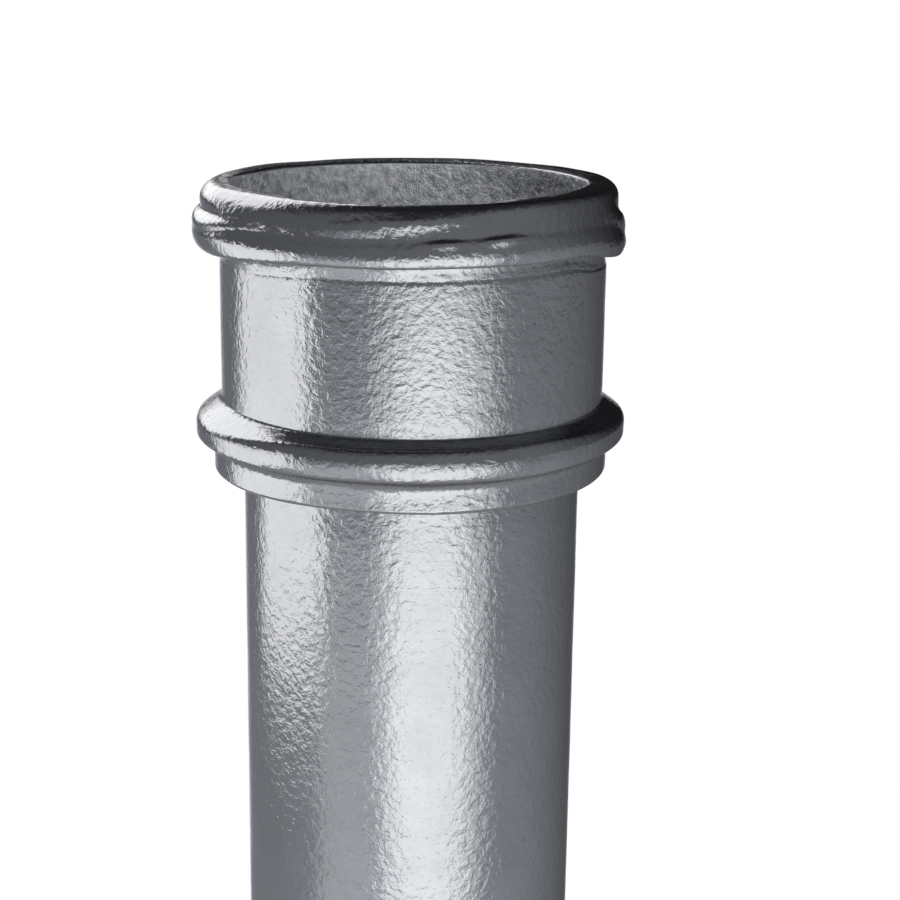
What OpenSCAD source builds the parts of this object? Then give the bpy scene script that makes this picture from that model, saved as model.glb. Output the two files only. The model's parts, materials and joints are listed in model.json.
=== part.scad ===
// Cast iron downpipe, round and without fixing ears, cast in one piece.
// A plain barrel carries a moulded socket at its upper end. The next pipe's spigot enters the socket.
// Sizes are in millimetres. The pipe stands on its spigot end at z = 0, and its axis is Z.

/* [Barrel] */
// Overall length, from the spigot end to the crown of the rim
pipe_l = 914; // [300:1:1829]
// Outside diameter of the barrel and its spigot end
barrel_d = 105; // [80:0.5:160]
// Wall thickness of the barrel
barrel_wall = 3.5; // [3:0.1:8]
// Rounding of both edges of the spigot end
spigot_round = 0.8; // [0.2:0.1:1.4]

/* [Socket] */
// Gap all round between the socket and a spigot standing in it
joint_gap = 2; // [1:0.1:6]
// Wall thickness of the socket between its two beads
socket_wall = 4.7; // [3:0.1:9]
// Depth from the crown of the rim to the ledge that stops the spigot
socket_depth = 74; // [60:0.5:110]
// Thickness of the iron under the ledge
floor_h = 14.8; // [8:0.1:20]
// Rounding in the corner between the socket's bore and its ledge
ledge_cove = 1.5; // [0.3:0.1:3]
// Rounding where the ledge turns down into the barrel
ledge_round = 1; // [0.3:0.1:2]

/* [Rim bead] */
// Distance from the socket's bore out to the top of the crown
crown_w = 5.1; // [4:0.1:7]
// Degrees that the crown falls from its top towards the mouth
crown_fall = 20; // [5:1:25]
// Rounding of the mouth's inner edge
mouth_edge = 1.2; // [0.3:0.1:2]
// Rounding from the crown over to the upper roll
crown_round = 4.1; // [2:0.1:4.5]
// Radius of the upper roll below its widest point, which lies as deep under the crown
upper_roll = 5.5; // [4.5:0.1:8]
// Depth from the crown to the quirk between the upper roll and the reeds
quirk_drop = 7.8; // [4:0.1:8.9]
// How far the reeds stand out from the socket's wall
rim_out = 7; // [5:0.1:12]
// Radius of each reed
reed_r = 3.4; // [2:0.1:4.8]
// Number of reeds under the quirk
reed_n = 2; // [1:1:3]
// Hollow under the rim bead
rim_cove = 2.2; // [0.5:0.1:4]

/* [Base bead] */
// Radius of the base bead's rounded shoulder
shoulder = 5.5; // [2:0.1:7]
// How far the base bead stands out from the socket's wall
base_out = 8; // [6.5:0.1:12]
// Height of the base bead
base_h = 10.2; // [10:0.1:14]
// How far the collar under the base bead stands out from the socket's wall
collar_out = 2.5; // [0:0.1:4]
// Height of the collar
collar_h = 10.8; // [6:0.1:16]
// Rounding of the lower edges of the base bead and of the collar
lower_round = 1.5; // [0.3:0.1:3]
// Hollow in the corners under the base bead and under the collar
lower_cove = 2; // [0.3:0.1:3]
// Hollow between the socket's wall and the shoulder
shoulder_cove = 1; // [0.3:0.1:1.8]

/* [Hidden] */

// Radii from the axis
barrel_r = barrel_d / 2;
bore_r = barrel_r - barrel_wall;
socket_bore_r = barrel_r + joint_gap;
socket_r = socket_bore_r + socket_wall;
crown_r = socket_bore_r + crown_w;
roll_centre_r = crown_r + crown_round - upper_roll;
rim_r = socket_r + rim_out;
base_r = socket_r + base_out;
collar_r = socket_r + collar_out;

// The reeds touch one line at rim_r and cross each other at a fixed angle, and the quirk cuts the
// first one off at its own angle.
reed_cross = 30;
quirk_angle = 70;
reed_pitch = 2 * reed_r * sin(reed_cross);
first_reed = quirk_drop + reed_r * sin(quirk_angle);
last_reed = first_reed + (reed_n - 1) * reed_pitch;
quirk_turn = asin((quirk_drop - upper_roll) / upper_roll);

// The crown's straight slope lies between its two roundings
slope_w = crown_w - crown_round * sin(crown_fall) - mouth_edge * (1 - sin(crown_fall));

// Heights of the section, measured down from the crown
mouth_drop = crown_round * (1 - cos(crown_fall)) + slope_w * tan(crown_fall)
    + mouth_edge * cos(crown_fall);
rim_h = last_reed + reed_r;
collar_end = socket_depth + floor_h;
base_end = collar_end - collar_h;
base_drop = base_end - base_h;

// A hollow is no wider than the ledge that it sits under
rim_hollow = min(rim_cove, rim_out - reed_r);
base_hollow = min(lower_cove, base_out - collar_out - lower_round);
collar_hollow = min(lower_cove, collar_r - barrel_r - lower_round);

// Degrees turned by each step of a curve in the section, and steps round the pipe
arc_step = 9;
$fn = 180;
// Two points of the section closer than this are one
same_point = 0.01;

// Points from angle a to angle b on a circle
function arc(centre, r, a, b) =
    let (n = ceil(abs(b - a) / arc_step))
    [for (i = [0 : n]) let (t = a + (b - a) * i / n) centre + r * [cos(t), sin(t)]];

// A closed line without the points that only repeat the one before, as where two arcs meet
function once(points) =
    [for (i = [0 : len(points) - 1])
        if (norm(points[i] - points[(i + len(points) - 1) % len(points)]) > same_point) points[i]];

// A reed is cut by the quirk or the reed above it, and by the reed below it unless it is the last
function reed(i) = arc(
    [rim_r - reed_r, -(first_reed + i * reed_pitch)],
    reed_r,
    i == 0 ? quirk_angle : reed_cross,
    i == reed_n - 1 ? -90 : -reed_cross
);

// From the bore up and over the crown, down the upper roll and the reeds, to the socket's wall
function rim_bead_line() = concat(
    arc([socket_bore_r + mouth_edge, -mouth_drop], mouth_edge, 180, 90 + crown_fall),
    arc([crown_r, -crown_round], crown_round, 90 + crown_fall, 90),
    arc([crown_r, -crown_round], crown_round, 90, 0),
    arc([roll_centre_r, -upper_roll], upper_roll, 0, -quirk_turn),
    [for (i = [0 : reed_n - 1]) each reed(i)],
    arc([socket_r + rim_hollow, -(rim_h + rim_hollow)], rim_hollow, 90, 180)
);

// From the socket's wall over the shoulder, down the base bead and the collar, to the barrel
function base_bead_line() = concat(
    arc([socket_r + shoulder_cove, -(base_drop - shoulder_cove)], shoulder_cove, 180, 270),
    arc([base_r - shoulder, -(base_drop + shoulder)], shoulder, 90, 0),
    arc([base_r - lower_round, -(base_end - lower_round)], lower_round, 0, -90),
    arc([collar_r + base_hollow, -(base_end + base_hollow)], base_hollow, 90, 180),
    arc([collar_r - lower_round, -(collar_end - lower_round)], lower_round, 0, -90),
    arc([barrel_r + collar_hollow, -(collar_end + collar_hollow)], collar_hollow, 90, 180)
);

// Round the spigot end, from the outside to the waterway
function spigot_line() = concat(
    arc([barrel_r - spigot_round, -(pipe_l - spigot_round)], spigot_round, 0, -90),
    arc([bore_r + spigot_round, -(pipe_l - spigot_round)], spigot_round, -90, -180)
);

// From the waterway over the ledge into the socket's bore
function ledge_line() = concat(
    arc([bore_r + ledge_round, -(socket_depth + ledge_round)], ledge_round, 180, 90),
    arc([socket_bore_r - ledge_cove, -(socket_depth - ledge_cove)], ledge_cove, 270, 360)
);

// Half of the pipe's section, with its crown at y = 0
module pipe_section() {
    polygon(once(concat(rim_bead_line(), base_bead_line(), spigot_line(), ledge_line())));
}

module downpipe() {
    color([0.36, 0.38, 0.41])
        translate([0, 0, pipe_l])
            rotate_extrude()
                pipe_section();
}

downpipe();
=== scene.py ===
import json
import math

import bpy
from mathutils import Matrix, Vector, noise


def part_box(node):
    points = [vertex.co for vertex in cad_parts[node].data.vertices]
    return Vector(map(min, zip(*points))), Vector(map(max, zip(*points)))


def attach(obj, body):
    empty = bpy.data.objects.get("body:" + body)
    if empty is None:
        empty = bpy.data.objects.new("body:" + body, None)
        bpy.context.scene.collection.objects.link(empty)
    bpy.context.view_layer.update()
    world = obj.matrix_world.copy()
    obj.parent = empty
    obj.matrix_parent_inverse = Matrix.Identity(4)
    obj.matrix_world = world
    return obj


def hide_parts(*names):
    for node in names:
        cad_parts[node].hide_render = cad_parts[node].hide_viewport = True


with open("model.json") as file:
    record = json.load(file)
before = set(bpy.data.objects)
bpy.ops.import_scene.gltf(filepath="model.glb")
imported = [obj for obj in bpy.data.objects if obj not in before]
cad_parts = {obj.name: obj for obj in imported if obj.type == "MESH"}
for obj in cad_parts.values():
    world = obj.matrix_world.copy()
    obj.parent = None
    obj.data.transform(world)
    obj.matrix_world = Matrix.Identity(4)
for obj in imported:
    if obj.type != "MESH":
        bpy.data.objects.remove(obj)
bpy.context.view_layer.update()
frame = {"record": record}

# Everything is in metres. The pipe stands on z = 0 with its axis on Z, and the camera looks along +Y.
# Depths are measured down from the crown of the rim. Places round the pipe are degrees from +X, the
# right in the photograph, so its front is at -90.
MM = 0.001

# Driving sizes, from the frame
mounts = {m["name"]: m for m in frame["record"]["mounts"]}
PIPE_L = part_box("downpipe")[1].z
BARREL_R = mounts["spigot"]["dims"]["r_mm"] * MM
SOCKET_BORE_R = mounts["socket"]["dims"]["r_mm"] * MM
BASE_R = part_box("downpipe")[1].x

# The section's other sizes, as the solid has them
BARREL_WALL = 3.5 * MM
SPIGOT_ROUND = 0.8 * MM
SOCKET_WALL = 4.7 * MM
SOCKET_DEPTH = 74 * MM
FLOOR_H = 14.8 * MM
LEDGE_COVE = 1.5 * MM
LEDGE_ROUND = 1 * MM
MOUTH_EDGE = 1.2 * MM
CROWN_W = 5.1 * MM
CROWN_FALL = 20
CROWN_ROUND = 4.1 * MM
UPPER_ROLL = 5.5 * MM
QUIRK_DROP = 7.8 * MM
QUIRK_ANGLE = 70
RIM_OUT = 7 * MM
REED_R = 3.4 * MM
REED_CROSS = 30
RIM_COVE = 2.2 * MM
BASE_H = 10.2 * MM
COLLAR_OUT = 2.5 * MM
COLLAR_H = 10.8 * MM
LOWER_ROUND = 1.5 * MM
LOWER_COVE = 2 * MM

BORE_R = BARREL_R - BARREL_WALL
SOCKET_R = SOCKET_BORE_R + SOCKET_WALL
CROWN_R = SOCKET_BORE_R + CROWN_W
ROLL_CENTRE_R = CROWN_R + CROWN_ROUND - UPPER_ROLL
QUIRK_TURN = math.degrees(math.asin((QUIRK_DROP - UPPER_ROLL) / UPPER_ROLL))
RIM_R = SOCKET_R + RIM_OUT
COLLAR_R = SOCKET_R + COLLAR_OUT
FIRST_REED = QUIRK_DROP + REED_R * math.sin(math.radians(QUIRK_ANGLE))
LAST_REED = FIRST_REED + REED_R
RIM_H = LAST_REED + REED_R
COLLAR_END = SOCKET_DEPTH + FLOOR_H
BASE_END = COLLAR_END - COLLAR_H
BASE_DROP = BASE_END - BASE_H

# How finely the casting is drawn: columns round it, degrees for each step of an arc, steps along each
# form of the rim bead and of the base bead, and steps along the walls
COLUMNS = 300
ARC_STEP = 9
RIM_POINTS = (10, 18, 6, 14, 16, 12)
BEAD_POINTS = (5, 12, 7, 8, 8)
GROOVE_POINTS = 10
WALL_POINTS = 22
COLLAR_POINTS = 5
SOCKET_POINTS = 16
NEAR_STEP = 6 * MM
NEAR_L = 220 * MM
FAR_STEP = 16 * MM
BORE_STEP = 60 * MM
# Passes that round off the creases between the forms of the rim bead and of the base bead
SOFTEN = 5
BEAD_SOFTEN = 2

# Sectors round the pipe: the place of each, and the cosines of the angle from there at which it starts
# and is whole
BACK = (90, -0.3, 0.1)
BACK_SLOPE = (90, 0, 0.3)
BACK_LEFT = (120, 0.3, 0.9)
LEFT = (205, 0.55, 1)
RIGHT = (-35, 0.8, 0.92)
RIM_FRONT = (-80, 0.12, 0.62)
BEAD_FRONT = (-85, 0.35, 0.95)
RIGHT_END = (0, 0.75, 1)
LEFT_END = (180, 0.35, 1)

# The crown at each place. It is one broad round at the left and nearly level at the right, and at the
# back it falls by half, in degrees, with a rounder edge to the mouth.
SIDE_ROUND = 5.4 * MM
LEFT_ROUND = 8.5 * MM
RIGHT_LEVEL = 0.95
LEAST_FALL = 1
BACK_FALL = 11
BACK_EDGE = 1.8 * MM

# The rim bead's front, where upper roll and first reed ran together and the second reed is a fat belly
FACE_TOP = 20
FACE_END = 9
FACE_DROP = 9.2 * MM
FACE_OUT = 5.95 * MM
CREASE_TURN = 40
BELLY_R = 7.3 * MM
BELLY_TURN = 8
BELLY_LOW_R = 7 * MM
BELLY_END = -29
BELLY_EDGE = 0.8 * MM
FRONT_COVE = 8 * MM
COVE_TURN = 40
COVE_DROP = 2.5 * MM

# The base bead at the sides: its straight slope in degrees, the depth of its widest part below the
# solid's top of the bead, the rounding between them and the hollow under it
SIDE_SLOPE = 33
SIDE_WIDEST = 5.6 * MM
SIDE_EDGE = 3 * MM
SIDE_COVE = 3.6 * MM
# The base bead at the front: a ledge, then arcs, each with its radius and the degrees it turns between
LEDGE_START = -0.9 * MM
LEDGE_END = 0.5 * MM
LEDGE_OUT = 2.95 * MM
FRONT_BEAD = [(2 * MM, 80, 45), (6.2 * MM, 45, 8), (11.4 * MM, 8, -16), (2 * MM, -16, -80)]
# The wall's last step above the bead, short so that the corner looks sharp
WALL_CORNER = 0.3 * MM

# Sideways shifts of the two beads towards the left, and what the base bead lacks all round
RIM_SHIFT = 1.3 * MM
BASE_SHIFT = 0.4 * MM
BASE_THIN = 0.35 * MM
MOUTH_IN = 0.8 * MM
# The crown's rise at the right and its fall at the front, the tilt of the reeds and their sag at the
# two ends, and the base bead's sag there
CROWN_RIGHT = 0.35 * MM
CROWN_FRONT = 0.55 * MM
REED_TILT = 0.35 * MM
RIGHT_DROP = 3.2 * MM
LEFT_DROP = 2.0 * MM
LEFT_LOW = 1.0 * MM
RIGHT_LOW = 0.3 * MM

# Depths between which each unevenness fades in
RIM_END = (RIM_H + 4.4 * MM, RIM_H - RIM_COVE)
MOUTH_END = (10 * MM, 0)
BEAD_START = (BASE_DROP - 6 * MM, BASE_DROP + 5.5 * MM)
COLLAR_FADE = (COLLAR_END + 8 * MM, COLLAR_END - LOWER_ROUND)
SAG_END = (RIM_H + 11 * MM, RIM_H + RIM_COVE)
REEDS_START = (0.5 * QUIRK_DROP, 1.3 * QUIRK_DROP)
RIGHT_SAG = (0.6 * QUIRK_DROP, LAST_REED)
LEFT_SAG = (LAST_REED, RIM_H)

# The skin's fine waves: height, size, and the noise's roughness, lacunarity and octaves
SKIN = 0.07 * MM
SKIN_SIZE = 16 * MM
SKIN_NOISE = (0.8, 2.0, 2)
# Slow waves: height, then length round the pipe as a share of the radius, length down it in mm, and
# place in the noise. They run aslant by so many radians for each mm.
RIM_SWELL = 0.3 * MM
RIM_WAVES = (0.42, 6.0, 3.1)
BASE_SWELL = 0.25 * MM
BASE_WAVES = (0.5, 7.0, 11.7)
CROWN_SWELL = 0.15 * MM
CROWN_WAVES = (0.7, 1, 5.3)
ASLANT = 0.03

# Spots on the rim bead's front: place, depth in mm, rise to the right in mm for each degree, half width
# in degrees and half height in mm. The crease under the face rises at one spot, and each lump has its
# height in mm too.
CREASE = (-52, 10.5, 0, 24, 4)
CREASE_RISE = 0.9 * MM
LUMPS = [
    (-88, 4.6, 0.05, 15, 1.9, 0.75),
    (-66, 9.8, 0.02, 6, 1.2, 1.2),
    (-81, 9.8, 0, 5, 1.1, 0.8),
    (-107, 6.5, 0.02, 8, 1.6, 0.4),
]

# The groove round the wall under the rim bead: distance below the bead, half height, depth, and how
# far below the bead the wall is drawn finely for it
GROOVE_DROP = 3.4 * MM
GROOVE_H = 0.7 * MM
GROOVE = 0.14 * MM
GROOVE_END = 6 * MM

# The paint outside and in the bore, where its colour also darkens in the pits as painted shade, and how
# the bore differs. A noise has its scale, detail, roughness and, where it isn't 0, distortion.
PAINT = [(0.3, (0.392, 0.397, 0.406)), (0.7, (0.442, 0.447, 0.457))]
# The bore's colour, dark where the pits' noise is low: painted shade in the pits, lighter between them.
BORE_PAINT_PIT_SHADE = [(0.34, (0.27, 0.275, 0.285)), (0.66, (0.58, 0.59, 0.61))]
SHADES = (55, 4, 0.6)
PITS = (330, 3, 0.65)
PEBBLES = (410, 3, 0.58, 0.3)
SHINE = (240, 3, 0.6)
PEBBLE_H = 0.3 * MM
PIT_H = 2.2 * MM
LEAST_ROUGH = 0.07
MORE_ROUGH = 0.12
BORE_ROUGH = 0.25
BORE_DULL = 0.8
# The last and first points of the mouth's edge that are all outside and all inside
MOUTH_INSIDE = (6, 1)

# The floor: half its side, its grey, and the distances from the pipe between which it turns plain and
# between which its mirrored light settles
FLOOR_HALF = 8.0
FLOOR_GREY = 0.8
FLOOR_PLAIN = (0.35, 1.0)
FLOOR_LIGHT = (0.8, 3.2)
FLOOR_NEAR = 1.3
# What the iron mirrors beside the soft boxes: greys by direction, in degrees from the camera, + to the
# right. The room darkens upwards between two heights on the unit sphere. Its tint is bluish.
FLOOR_RING = [
    (-180, 0.85), (-165, 0.85), (-158, 0.2), (0, 0.46), (90, 0.32), (150, 0.1), (165, 0.1), (172, 0.85)
]
ROOM_RING = [(-180, 0.1), (-60, 0.18), (30, 0.26), (75, 0.23), (125, 0.08), (150, 0.015)]
ROOM_TOP = (0.024, 0.025, 0.027, 1)
ROOM_FADE = (0.55, 1.0)
TINT = (1, 1.03, 1.12)
WHITE = (1, 1, 1, 1)

# What the lights aim at
SOCKET_MIDDLE = Vector((0, 0, PIPE_L - 60 * MM))
MOUTH_BACK = Vector((0, SOCKET_BORE_R, PIPE_L - 10 * MM))
BEAM_SPREAD = 12
BEAM_COLOUR = (0.95, 0.98, 1.0)

# The photograph's camera
LENS = 80
SENSOR = 36
PITCH = 15.0
ROLL = 0.76
CAMERA_OUT = 608 * MM
CAMERA_UP = 77.5 * MM
CAMERA_SIDE = 12 * MM


def smooth(low, high, x):
    """0 at low and 1 at high, easing in and out between them."""
    t = min(max((x - low) / (high - low), 0), 1)
    return t * t * (3 - 2 * t)


def sector(turn, place, start, whole):
    """1 in the middle of a sector, fading to 0 beside it. turn is in radians."""
    return smooth(start, whole, math.cos(turn - math.radians(place)))


def arc(x, depth, r, a, b):
    """Points (radius, depth) on a circle, from angle a to angle b."""
    n = max(2, math.ceil(abs(b - a) / ARC_STEP))
    turns = [math.radians(a + (b - a) * i / n) for i in range(n + 1)]
    return [(x + r * math.cos(t), depth - r * math.sin(t)) for t in turns]


def next_arc(point, r, a, b):
    """An arc that starts at a given point."""
    turn = math.radians(a)
    return arc(point[0] - r * math.cos(turn), point[1] + r * math.sin(turn), r, a, b)


def run(r, start, end, step):
    """Points down or up a straight wall, without its two ends."""
    n = max(1, round(abs(end - start) / step))
    return [(r, start + (end - start) * i / n) for i in range(1, n)]


def spread(line, n):
    """n + 1 points at equal distances along a line of points."""
    lengths = [0.0]
    for a, b in zip(line, line[1:]):
        lengths.append(lengths[-1] + math.dist(a, b))
    points = []
    for k in range(n + 1):
        want = lengths[-1] * k / n
        i = min(max(1, sum(l < want for l in lengths)), len(line) - 1)
        t = (want - lengths[i - 1]) / (lengths[i] - lengths[i - 1])
        points.append(tuple(a + (b - a) * t for a, b in zip(line[i - 1], line[i])))
    return points


def soften(line, passes):
    """A line of points with its creases rounded off. Its two ends stay."""
    for _ in range(passes):
        inner = [
            tuple((a + 2 * b + c) / 4 for a, b, c in zip(*three))
            for three in zip(line, line[1:], line[2:])
        ]
        line = [line[0], *inner, line[-1]]
    return line


def joined(forms, counts, passes):
    """One line along forms that follow each other, each cut into its count of equal steps. Sections
    with the same counts blend point by point."""
    line = [forms[0][0]]
    for form, n in zip(forms, counts):
        line += spread(form, n)[1:]
    return soften(line, passes)


def lip(turn):
    """At one place round the pipe: the crown's fall to the mouth in degrees, the radius of the
    mouth's edge, and how far the crown has widened to the broad round of the left, 0 to 1."""
    left = sector(turn, *LEFT)
    level = max(sector(turn, *BACK), left, RIGHT_LEVEL * sector(turn, *RIGHT))
    fall = CROWN_FALL * (1 - level) + LEAST_FALL
    fall += (BACK_FALL - LEAST_FALL) * sector(turn, *BACK_SLOPE) * (1 - left)
    edge = MOUTH_EDGE + (BACK_EDGE - MOUTH_EDGE) * sector(turn, *BACK_LEFT)
    return fall, edge, left


def mouth(crown_start, fall, edge):
    """The mouth's edge, from the bore up to the slope that falls from the crown."""
    a = math.radians(fall)
    slope_w = crown_start[0] - SOCKET_BORE_R - edge * (1 - math.sin(a))
    depth = crown_start[1] + slope_w * math.tan(a) + edge * math.cos(a)
    return arc(SOCKET_BORE_R + edge, depth, edge, 180, 90 + fall)


def side_rim(fall, edge, left):
    """The rim bead's forms as the solid has them: the mouth's edge, crown, upper roll, two reeds and
    the hollow below."""
    r = CROWN_ROUND + (SIDE_ROUND - CROWN_ROUND) * left
    crown = arc(CROWN_R + CROWN_ROUND - r, r, r, 90 + fall, 0)
    return [
        mouth(crown[0], fall, edge),
        crown,
        arc(ROLL_CENTRE_R, UPPER_ROLL, UPPER_ROLL, 0, -QUIRK_TURN),
        arc(RIM_R - REED_R, FIRST_REED, REED_R, QUIRK_ANGLE, -REED_CROSS),
        arc(RIM_R - REED_R, LAST_REED, REED_R, REED_CROSS, -90),
        arc(SOCKET_R + RIM_COVE, RIM_H + RIM_COVE, RIM_COVE, 90, 180),
    ]


def front_rim(fall, edge, left):
    """The same forms at the front: one flat face for upper roll and first reed, then a fat belly."""
    r = CROWN_ROUND + (LEFT_ROUND - CROWN_ROUND) * left
    top, end = math.radians(FACE_TOP), math.radians(FACE_END)
    face_r = (FACE_DROP - r * (1 - math.sin(top))) / (math.sin(top) - math.sin(end))
    crown_r = SOCKET_R + FACE_OUT - face_r * (math.cos(end) - math.cos(top)) - r * math.cos(top)
    crown = arc(crown_r, r, r, 90 + fall, FACE_TOP)
    middle = (FACE_TOP + FACE_END) / 2
    face = next_arc(crown[-1], face_r, FACE_TOP, middle)
    low_face = next_arc(face[-1], face_r, middle, FACE_END)
    belly = next_arc(low_face[-1], BELLY_R, CREASE_TURN, BELLY_TURN)
    belly += next_arc(belly[-1], BELLY_LOW_R, BELLY_TURN, BELLY_END)[1:]
    belly += next_arc(belly[-1], BELLY_EDGE, BELLY_END, -90)[1:]
    cove = arc(SOCKET_R + FRONT_COVE, RIM_H + COVE_DROP, FRONT_COVE, 180 - COVE_TURN, 180)
    return [mouth(crown[0], fall, edge), crown, face, low_face, belly, cove]


def side_bead():
    """The base bead's forms at the sides: slope, round, face, lower edge and hollow."""
    a = math.radians(SIDE_SLOPE)
    widest = BASE_DROP + SIDE_WIDEST
    corner = (BASE_R - SIDE_EDGE * (1 - math.sin(a)), widest - SIDE_EDGE * math.cos(a))
    start = (SOCKET_R, corner[1] - (corner[0] - SOCKET_R) * math.tan(a))
    low = BASE_END - LOWER_ROUND
    return [
        [start, corner],
        arc(BASE_R - SIDE_EDGE, widest, SIDE_EDGE, 90 - SIDE_SLOPE, 0),
        [(BASE_R, widest), (BASE_R, low)],
        arc(BASE_R - LOWER_ROUND, low, LOWER_ROUND, 0, -90),
        arc(COLLAR_R + SIDE_COVE, BASE_END + SIDE_COVE, SIDE_COVE, 90, 180),
    ]


def front_bead():
    """The same forms at the front, where the bead is a broad round under a narrow ledge."""
    forms = [[(SOCKET_R, BASE_DROP + LEDGE_START), (BASE_R - LEDGE_OUT, BASE_DROP + LEDGE_END)]]
    for r, a, b in FRONT_BEAD:
        forms.append(next_arc(forms[-1][-1], r, a, b))
    ledge, edge, top, face, low = forms
    cove_r = low[-1][0] - COLLAR_R
    cove = arc(COLLAR_R + cove_r, low[-1][1] + cove_r, cove_r, 90, 180)
    return [ledge, edge + top[1:], face, low, cove]


def outer_line(rim, bead):
    """The outside of the section, from the bore's edge over the crown to the spigot end."""
    barrel_top = COLLAR_END + LOWER_COVE
    barrel_end = PIPE_L - SPIGOT_ROUND
    groove_end = (SOCKET_R, RIM_H + GROOVE_END)
    wall_end = (SOCKET_R, bead[0][0][1] - WALL_CORNER)
    collar = [bead[-1][-1], (COLLAR_R, COLLAR_END - LOWER_ROUND)]
    return [
        *joined(rim, RIM_POINTS, SOFTEN),
        *spread([rim[-1][-1], groove_end], GROOVE_POINTS)[1:],
        *spread([groove_end, wall_end], WALL_POINTS)[1:],
        *joined(bead, BEAD_POINTS, BEAD_SOFTEN),
        *spread(collar, COLLAR_POINTS)[1:-1],
        *arc(COLLAR_R - LOWER_ROUND, COLLAR_END - LOWER_ROUND, LOWER_ROUND, 0, -90),
        *arc(BARREL_R + LOWER_COVE, barrel_top, LOWER_COVE, 90, 180),
        *run(BARREL_R, barrel_top, barrel_top + NEAR_L, NEAR_STEP),
        *run(BARREL_R, barrel_top + NEAR_L, barrel_end, FAR_STEP),
        *arc(BARREL_R - SPIGOT_ROUND, barrel_end, SPIGOT_ROUND, 0, -90),
    ]


def inner_line(mouth_end):
    """The inside of the section, from the spigot end up the waterway and the socket to the mouth."""
    bore_top = SOCKET_DEPTH + LEDGE_ROUND
    bore_end = PIPE_L - SPIGOT_ROUND
    return [
        *arc(BORE_R + SPIGOT_ROUND, bore_end, SPIGOT_ROUND, -90, -180),
        *run(BORE_R, bore_end, bore_top, BORE_STEP),
        *arc(BORE_R + LEDGE_ROUND, bore_top, LEDGE_ROUND, 180, 90),
        *arc(SOCKET_BORE_R - LEDGE_COVE, SOCKET_DEPTH - LEDGE_COVE, LEDGE_COVE, 270, 360),
        *spread([(SOCKET_BORE_R, SOCKET_DEPTH - LEDGE_COVE), mouth_end], SOCKET_POINTS)[1:-1],
    ]


def section_normals(line):
    """The outward direction at each point of the closed section."""
    normals = []
    for i in range(len(line)):
        before = line[i - 1]
        after = line[(i + 1) % len(line)]
        d = Vector((after[0] - before[0], before[1] - after[1])).normalized()
        normals.append(Vector((-d.y, d.x)))
    return normals


def section(turn):
    """The pipe's section at one place round it: its points, how many of them lie outside, and its
    outward directions. The rim and the groove blend from side to front by one sector, and what is
    below them by another."""
    shape = lip(turn)
    side = outer_line(side_rim(*shape), side_bead())
    front = outer_line(front_rim(*shape), front_bead())
    rim_front, bead_front = sector(turn, *RIM_FRONT), sector(turn, *BEAD_FRONT)
    rim_count = sum(RIM_POINTS) + GROOVE_POINTS
    outside = []
    for i, (a, b) in enumerate(zip(side, front)):
        share = rim_front if i < rim_count else bead_front
        outside.append(tuple(p + (q - p) * share for p, q in zip(a, b)))
    line = outside + inner_line(outside[0])
    return line, len(outside), section_normals(line)


def rim_drop(depth, turn):
    """How far the rim bead hangs below its true height: the crown's lean and the reeds' sag."""
    c, s = math.cos(turn), math.sin(turn)
    reeds = smooth(*REEDS_START, depth)
    lean = -CROWN_RIGHT * c + CROWN_FRONT * s
    tilt = REED_TILT * (1 - c)
    right = RIGHT_DROP * sector(turn, *RIGHT_END) * smooth(*RIGHT_SAG, depth)
    left = LEFT_DROP * sector(turn, *LEFT_END) * smooth(*LEFT_SAG, depth)
    crease = CREASE_RISE * spot(turn, depth, *CREASE)
    return smooth(*SAG_END, depth) * (lean * (1 - reeds) + tilt * reeds + right + left - crease)


def base_drop(turn):
    """How far the base bead hangs below its true height."""
    c = math.cos(turn)
    return (LEFT_LOW if c < 0 else RIGHT_LOW) * c * c


def swell(turn, depth, long, tall, seed):
    """A slow wave over the surface, about -0.5 to 0.5."""
    height = depth / MM
    a = turn + ASLANT * height
    return noise.noise(Vector((math.cos(a) / long, math.sin(a) / long, height / tall + seed)))


def spot(turn, depth, place, drop, rise, wide, tall):
    """1 in the middle of a spot on the surface, fading to 0 round it."""
    a = (math.degrees(turn) - place + 180) % 360 - 180
    return math.exp(-((a / wide) ** 2) - ((depth / MM - drop + rise * a) / tall) ** 2)


def groove(depth):
    """The shallow groove that the pattern's turning left round the wall under the rim bead."""
    return GROOVE * math.exp(-(((depth - RIM_H - GROOVE_DROP) / GROOVE_H) ** 2))


def cast_point(r, depth, normal, outside, turn):
    """A point of the section carried round the pipe, with the casting's own unevenness. It moves out
    along its normal, sideways with its bead, and down."""
    c, s = math.cos(turn), math.sin(turn)
    rim = smooth(*(RIM_END if outside else MOUTH_END), depth)
    out = SKIN * (noise.fractal(Vector((c * r, s * r, -depth)) / SKIN_SIZE, *SKIN_NOISE) - 1)
    radius = r - rim * (RIM_SHIFT * c + MOUTH_IN * smooth(CROWN_R, SOCKET_BORE_R, r) * max(c, 0))
    drop = rim * CROWN_SWELL * (swell(turn, 0, *CROWN_WAVES) + 0.5)
    if outside:
        base = smooth(*BEAD_START, depth) * smooth(*COLLAR_FADE, depth)
        out += rim * RIM_SWELL * (swell(turn, depth, *RIM_WAVES) - 0.5)
        out += base * BASE_SWELL * (swell(turn, depth, *BASE_WAVES) - 0.5)
        out += sum(height * MM * spot(turn, depth, *lump) for *lump, height in LUMPS)
        out -= groove(depth)
        radius -= base * (BASE_SHIFT * c + BASE_THIN)
        drop += base * base_drop(turn) + rim_drop(depth, turn)
    else:
        drop += rim * rim_drop(0, turn)
    radius += normal.x * out
    return Vector((radius * c, radius * s, PIPE_L - depth + normal.y * out - drop))


def add_object(name, data):
    item = bpy.data.objects.new(name, data)
    bpy.context.scene.collection.objects.link(item)
    return item


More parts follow.
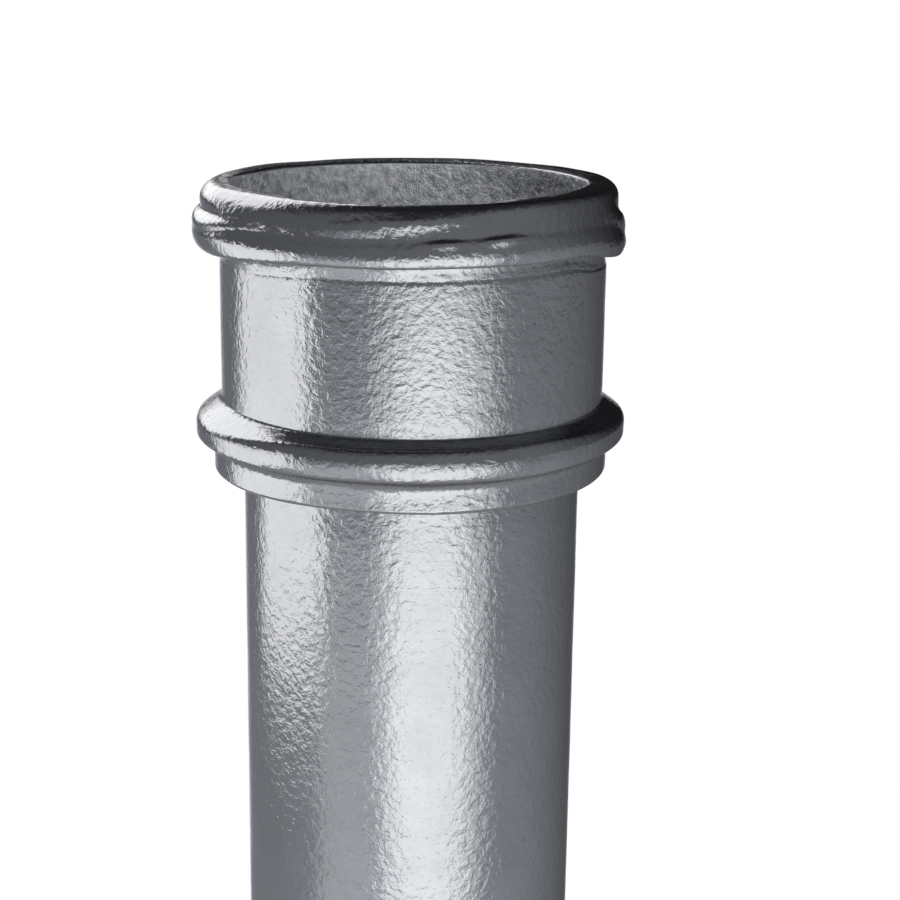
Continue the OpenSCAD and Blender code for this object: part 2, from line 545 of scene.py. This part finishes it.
def make_casting():
    """The whole pipe as one closed mesh. Its points carry how far they are inside, 0 to 1, which
    fades up the mouth's edge."""
    columns = []
    for j in range(COLUMNS):
        turn = 2 * math.pi * j / COLUMNS
        line, outside, normals = section(turn)
        points = enumerate(zip(line, normals))
        columns.append([cast_point(*point, normal, i < outside, turn) for i, (point, normal) in points])
    rows = len(line)
    verts = [column[i] for i in range(rows) for column in columns]
    faces = []
    for i in range(rows):
        k = (i + 1) % rows
        for j in range(COLUMNS):
            m = (j + 1) % COLUMNS
            faces.append((i * COLUMNS + j, k * COLUMNS + j, k * COLUMNS + m, i * COLUMNS + m))
    mesh = bpy.data.meshes.new("casting")
    mesh.from_pydata(verts, [], faces)
    mesh.polygons.foreach_set("use_smooth", [True] * len(faces))
    inside = [1.0 if i >= outside else smooth(*MOUTH_INSIDE, i) for i in range(rows)]
    attribute = mesh.attributes.new("inside", "FLOAT", "POINT")
    attribute.data.foreach_set("value", [share for share in inside for _ in range(COLUMNS)])
    mesh.update()
    return add_object("casting", mesh)


class Nodes:
    """Short calls for building one node tree."""

    def __init__(self, tree):
        self.tree = tree
        tree.nodes.clear()

    def put(self, socket, value):
        """Gives a socket a plain value, or links another node's output to it."""
        if isinstance(value, bpy.types.NodeSocket):
            self.tree.links.new(value, socket)
        else:
            socket.default_value = value

    def add(self, kind, inputs={}, **settings):
        node = self.tree.nodes.new(kind)
        for name, value in settings.items():
            setattr(node, name, value)
        for name, value in inputs.items():
            self.put(node.inputs[name], value)
        return node

    def noise(self, place, scale, detail, roughness, distortion=0.0):
        inputs = {"Vector": place, "Scale": scale, "Detail": detail, "Roughness": roughness}
        return self.add("ShaderNodeTexNoise", {**inputs, "Distortion": distortion}).outputs["Fac"]

    def math(self, operation, *values):
        node = self.add("ShaderNodeMath", operation=operation)
        for socket, value in zip(node.inputs, values):
            self.put(socket, value)
        return node.outputs[0]

    def mix(self, factor, a, b):
        inputs = {"Factor": factor, "A": a, "B": b}
        return self.add("ShaderNodeMix", inputs, data_type="RGBA").outputs["Result"]

    def fade(self, value, start, end, low=0.0, high=1.0, kind="SMOOTHSTEP"):
        """Goes from low to high while the value goes from start to end."""
        inputs = {"Value": value, "From Min": start, "From Max": end, "To Min": low, "To Max": high}
        return self.add("ShaderNodeMapRange", inputs, interpolation_type=kind).outputs["Result"]

    def ramp(self, source, stops):
        node = self.add("ShaderNodeValToRGB", {"Fac": source})
        elements = node.color_ramp.elements
        while len(elements) < len(stops):
            elements.new(0.5)
        for element, (place, colour) in zip(elements, stops):
            element.position = place
            element.color = (*colour, 1)
        return node.outputs["Color"]

    def axes(self, place):
        return self.add("ShaderNodeSeparateXYZ", {"Vector": place}).outputs

    def compass(self, place, ring):
        """Tinted greys by direction round the pipe. ring lists directions and the grey there."""
        x, y, _ = self.axes(place)
        turn = self.math("ARCTAN2", x, self.math("MULTIPLY", y, -1))
        share = self.math("MULTIPLY_ADD", turn, 0.5 / math.pi, 0.5)
        return self.ramp(share, [(0.5 + a / 360, tuple(grey * t for t in TINT)) for a, grey in ring])

    def bump(self, height, strength, distance, **normal):
        inputs = {"Height": height, "Strength": strength, "Distance": distance, **normal}
        return self.add("ShaderNodeBump", inputs).outputs["Normal"]


def new_material(name):
    material = bpy.data.materials.new(name)
    material.use_nodes = True
    return material, Nodes(material.node_tree)


def iron_paint():
    """Glossy graphite paint over the pebbled skin of a sand casting. In the bore it is duller, the iron
    under it is pitted, and painted shade darkens the colour in the pits."""
    material, n = new_material("painted_iron")
    place = n.add("ShaderNodeTexCoord").outputs["Object"]
    inside = n.add("ShaderNodeAttribute", attribute_name="inside").outputs["Fac"]
    pits = n.noise(place, *PITS)
    pebbles = n.bump(n.noise(place, *PEBBLES), 1.0, PEBBLE_H)
    rough = n.math("MULTIPLY_ADD", n.noise(place, *SHINE), MORE_ROUGH, LEAST_ROUGH)
    # In the bore the colour darkens with the pits' noise: painted shade in the pits.
    colours_and_pit_shade = n.ramp(n.noise(place, *SHADES), PAINT), n.ramp(pits, BORE_PAINT_PIT_SHADE)
    shader = n.add("ShaderNodeBsdfPrincipled", {
        "Base Color": n.mix(inside, *colours_and_pit_shade),
        "Metallic": n.math("MULTIPLY_ADD", inside, -BORE_DULL, 1.0),
        "Roughness": n.math("ADD", rough, n.math("MULTIPLY", inside, BORE_ROUGH)),
        "Normal": n.bump(pits, inside, PIT_H, Normal=pebbles),
    })
    n.add("ShaderNodeOutputMaterial", {"Surface": shader.outputs["BSDF"]})
    return material


def floor_paint():
    """A pale floor that keeps the pipe's shadow. The camera sees it run out to plain white, and the
    iron mirrors it as plain greys."""
    material, n = new_material("floor")
    place = n.add("ShaderNodeTexCoord").outputs["Object"]
    rays = n.add("ShaderNodeLightPath").outputs
    camera, glossy = rays["Is Camera Ray"], rays["Is Glossy Ray"]
    away = n.add("ShaderNodeVectorMath", operation="LENGTH")
    n.put(away.inputs[0], place)
    away = away.outputs["Value"]
    near = n.fade(away, *FLOOR_LIGHT, FLOOR_NEAR, 1.0, "LINEAR")
    plain = n.add("ShaderNodeEmission", {
        "Color": n.mix(camera, n.compass(place, FLOOR_RING), WHITE),
        "Strength": n.math("MAXIMUM", n.math("MULTIPLY", near, glossy), 1),
    })
    real = n.add("ShaderNodeBsdfDiffuse", {"Color": (FLOOR_GREY, FLOOR_GREY, FLOOR_GREY, 1)})
    share = n.math("MULTIPLY", n.math("ADD", camera, glossy), n.fade(away, *FLOOR_PLAIN))
    mix = n.add("ShaderNodeMixShader", {"Fac": share})
    n.put(mix.inputs[1], real.outputs["BSDF"])
    n.put(mix.inputs[2], plain.outputs["Emission"])
    n.add("ShaderNodeOutputMaterial", {"Surface": mix.outputs["Shader"]})
    return material


def make_floor():
    h = FLOOR_HALF
    mesh = bpy.data.meshes.new("floor")
    mesh.from_pydata([(-h, -h, 0), (h, -h, 0), (h, h, 0), (-h, h, 0)], [], [(0, 1, 2, 3)])
    mesh.materials.append(floor_paint())
    add_object("floor", mesh)


def make_world():
    """White for the camera. What the iron mirrors is a dim room, darkest overhead and behind it."""
    world = bpy.data.worlds.new("studio")
    bpy.context.scene.world = world
    world.use_nodes = True
    n = Nodes(world.node_tree)
    place = n.add("ShaderNodeTexCoord").outputs["Generated"]
    up = n.fade(n.axes(place)["Z"], *ROOM_FADE)
    room = n.mix(up, n.compass(place, ROOM_RING), ROOM_TOP)
    seen = n.mix(n.add("ShaderNodeLightPath").outputs["Is Camera Ray"], room, WHITE)
    background = n.add("ShaderNodeBackground", {"Color": seen})
    n.add("ShaderNodeOutputWorld", {"Surface": background.outputs["Background"]})


def soft_box(name, turn, rise, distance, width, height, radiance, shape="RECTANGLE", aim=SOCKET_MIDDLE):
    """An area light aimed at a point of the socket. turn is degrees round from the camera, + to the
    right, and rise is degrees above that point. A radiance of 1 is mirrored as white."""
    a, e = math.radians(turn), math.radians(rise)
    away = Vector((math.sin(a) * math.cos(e), -math.cos(a) * math.cos(e), math.sin(e)))
    data = bpy.data.lights.new(name, "AREA")
    data.shape = shape
    data.size = width
    data.size_y = height
    area = width * height * (math.pi / 4 if shape == "ELLIPSE" else 1)
    data.energy = radiance * math.pi * area
    light = add_object(name, data)
    light.location = aim + away * distance
    light.rotation_mode = "QUATERNION"
    light.rotation_quaternion = away.to_track_quat("Z", "Y")
    return light


def make_lights():
    """Two nested boxes low in front make the bright band with its soft rim, and the others the bright
    edges. The last two only light what isn't mirror-like: the bore and the floor."""
    soft_box("front", 15, -24, 1.1, 1.62, 0.95, 0.55, "ELLIPSE")
    soft_box("front core", 13, -25.5, 1.1, 1.02, 0.66, 0.74, "ELLIPSE")
    soft_box("low fill", -45, -30, 1.1, 0.65, 0.5, 0.3)
    soft_box("left", -87.5, -12.5, 0.465, 0.5, 0.29, 1.28)
    soft_box("back left", -146, 27, 1.1, 0.85, 0.93, 1.6)
    soft_box("backdrop", 184.5, 4.2, 0.35, 0.145, 0.112, 0.9).visible_camera = False
    beam = soft_box("into the mouth", 4, 38, 0.6, 0.05, 0.05, 1.2, aim=MOUTH_BACK)
    beam.data.color = BEAM_COLOUR
    beam.data.spread = math.radians(BEAM_SPREAD)
    beam.visible_glossy = False
    soft_box("floor wash", 30, 75, 1.5, 1.5, 1.5, 2.2).visible_glossy = False


def make_camera():
    data = bpy.data.cameras.new("camera")
    data.lens = LENS
    data.sensor_width = SENSOR
    camera = add_object("camera", data)
    camera.location = (CAMERA_SIDE, -CAMERA_OUT, PIPE_L + CAMERA_UP)
    camera.rotation_mode = "QUATERNION"
    look = Matrix.Rotation(math.radians(90 - PITCH), 4, "X")
    camera.rotation_quaternion = (look @ Matrix.Rotation(math.radians(ROLL), 4, "Z")).to_quaternion()
    bpy.context.scene.camera = camera


bpy.context.scene.view_settings.view_transform = "Standard"
casting = make_casting()
casting.data.materials.append(iron_paint())
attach(casting, "root")
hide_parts("downpipe")
make_floor()
make_world()
make_lights()
make_camera()
